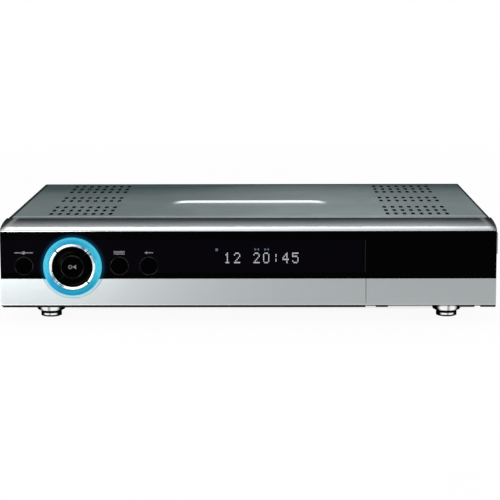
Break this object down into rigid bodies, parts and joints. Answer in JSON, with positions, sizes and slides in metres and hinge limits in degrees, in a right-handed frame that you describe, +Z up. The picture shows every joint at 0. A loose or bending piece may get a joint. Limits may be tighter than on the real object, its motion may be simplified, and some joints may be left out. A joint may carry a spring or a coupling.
{
  "type": "satellite television receiver",
  "caption": "Low set-top receiver with a silver and black front, lit round navigation pad, fold-down door, slotted top cover and four round feet.",
  "frame": {"origin": "middle of the footprint, on the surface that the feet stand on", "axes": "+X right as seen from the front, +Y back, +Z up"},
  "size_m": [0.3436, 0.264, 0.0675],
  "materials": {
    "cover_metal": "satin sheet",
    "chassis_steel": "zinc plated sheet",
    "silver_plastic": "silver lacquer",
    "black_gloss": "high gloss black",
    "black_plastic": "fine matt",
    "smoked_window": "high gloss smoked",
    "blue_guide": "translucent blue",
    "chrome_trim": "bright chrome",
    "steel": "zinc plated",
    "bright_cup": "bright plated",
    "rubber": "soft matt",
    "board": "solder mask",
    "brass": "nickel free",
    "aluminium": "extruded",
    "tin_can": "tin plated",
    "nickel": "nickel plated",
    "chip": "moulded",
    "led": "clear",
    "display_glass": "tinted glass",
    "ribbon": "white film",
    "wire": "insulation",
    "core": "varnished",
    "capacitor": "sleeve",
    "fuse_glass": "clear",
    "magnet": "ferrite"
  },
  "bodies": {
    "chassis": {"top_cover": "cover_metal", "chassis_tray": "chassis_steel", "rear_panel": "chassis_steel", "front_bezel": "silver_plastic", "front_window": "smoked_window", "cover_screws": "steel", "chassis_screws": "steel", "ring_light_guide": "blue_guide", "button_carrier": "black_plastic", "front_board": "board", "tact_switches": "black_plastic", "ring_leds": "led", "display_module": "display_glass", "ir_receiver": "black_gloss", "door_hinge_pins": "steel", "door_magnet": "magnet", "slot_panel": "black_plastic", "ci_slot_cage": "black_plastic", "smart_card_reader": "black_plastic", "main_board": "board", "board_standoffs": "brass", "tuner_cans": "tin_can", "f_connectors": "nickel", "f_connector_nuts": "nickel", "scart_sockets": "black_plastic", "rca_jacks": "nickel", "serial_port": "nickel", "mains_inlet": "black_plastic", "power_switch_body": "black_plastic", "power_board": "board", "transformer": "core", "power_capacitors": "capacitor", "power_heatsink": "aluminium", "fuse_holder": "fuse_glass", "main_chips": "chip", "chip_heatsink": "aluminium", "ribbon_cable": "ribbon", "power_harness": "wire", "foot_cups": "bright_cup", "foot_pads": "rubber"},
    "door": {"door_carrier": "black_plastic", "door_trim": "silver_plastic", "door_window": "smoked_window", "door_strike_plate": "steel"},
    "ok_button_body": {"ok_button": "black_gloss"},
    "standby_button_body": {"standby_button": "black_gloss"},
    "menu_button_body": {"menu_button": "black_gloss"},
    "exit_button_body": {"exit_button": "black_gloss"},
    "eject_upper": {"ci_eject_button_upper": "black_plastic"},
    "eject_lower": {"ci_eject_button_lower": "black_plastic"},
    "rocker": {"power_rocker": "black_gloss"},
    "nav_up": {"nav_up_key": "black_gloss", "nav_up_trim": "chrome_trim"},
    "nav_down": {"nav_down_key": "black_gloss", "nav_down_trim": "chrome_trim"},
    "nav_left": {"nav_left_key": "black_gloss", "nav_left_trim": "chrome_trim"},
    "nav_right": {"nav_right_key": "black_gloss", "nav_right_trim": "chrome_trim"}
  },
  "joints": [
    {"name": "door_hinge", "type": "hinge", "parent": "chassis", "child": "door", "pos_m": [0.125, -0.1235, 0.0165], "axis": [1, 0, 0], "range_deg": [0, 90]},
    {"name": "nav_up_press", "type": "slide", "parent": "chassis", "child": "nav_up", "axis": [0, 1, 0], "range_m": [0, 0.0008], "stiffness_N_per_m": 600, "springref_m": -0.001},
    {"name": "nav_down_press", "type": "slide", "parent": "chassis", "child": "nav_down", "axis": [0, 1, 0], "range_m": [0, 0.0008], "stiffness_N_per_m": 600, "springref_m": -0.001},
    {"name": "nav_left_press", "type": "slide", "parent": "chassis", "child": "nav_left", "axis": [0, 1, 0], "range_m": [0, 0.0008], "stiffness_N_per_m": 600, "springref_m": -0.001},
    {"name": "nav_right_press", "type": "slide", "parent": "chassis", "child": "nav_right", "axis": [0, 1, 0], "range_m": [0, 0.0008], "stiffness_N_per_m": 600, "springref_m": -0.001},
    {"name": "ok_button_press", "type": "slide", "parent": "chassis", "child": "ok_button_body", "axis": [0, 1, 0], "range_m": [0, 0.0008], "stiffness_N_per_m": 600, "springref_m": -0.001},
    {"name": "standby_button_press", "type": "slide", "parent": "chassis", "child": "standby_button_body", "axis": [0, 1, 0], "range_m": [0, 0.0008], "stiffness_N_per_m": 600, "springref_m": -0.001},
    {"name": "menu_button_press", "type": "slide", "parent": "chassis", "child": "menu_button_body", "axis": [0, 1, 0], "range_m": [0, 0.0008], "stiffness_N_per_m": 600, "springref_m": -0.001},
    {"name": "exit_button_press", "type": "slide", "parent": "chassis", "child": "exit_button_body", "axis": [0, 1, 0], "range_m": [0, 0.0008], "stiffness_N_per_m": 600, "springref_m": -0.001},
    {"name": "eject_upper_press", "type": "slide", "parent": "chassis", "child": "eject_upper", "axis": [0, 1, 0], "range_m": [0, 0.004], "stiffness_N_per_m": 200, "springref_m": -0.002},
    {"name": "eject_lower_press", "type": "slide", "parent": "chassis", "child": "eject_lower", "axis": [0, 1, 0], "range_m": [0, 0.004], "stiffness_N_per_m": 200, "springref_m": -0.002},
    {"name": "rocker_tilt", "type": "hinge", "parent": "chassis", "child": "rocker", "pos_m": [-0.111, 0.1175, 0.0316], "axis": [1, 0, 0], "range_deg": [0, 18]}
  ]
}
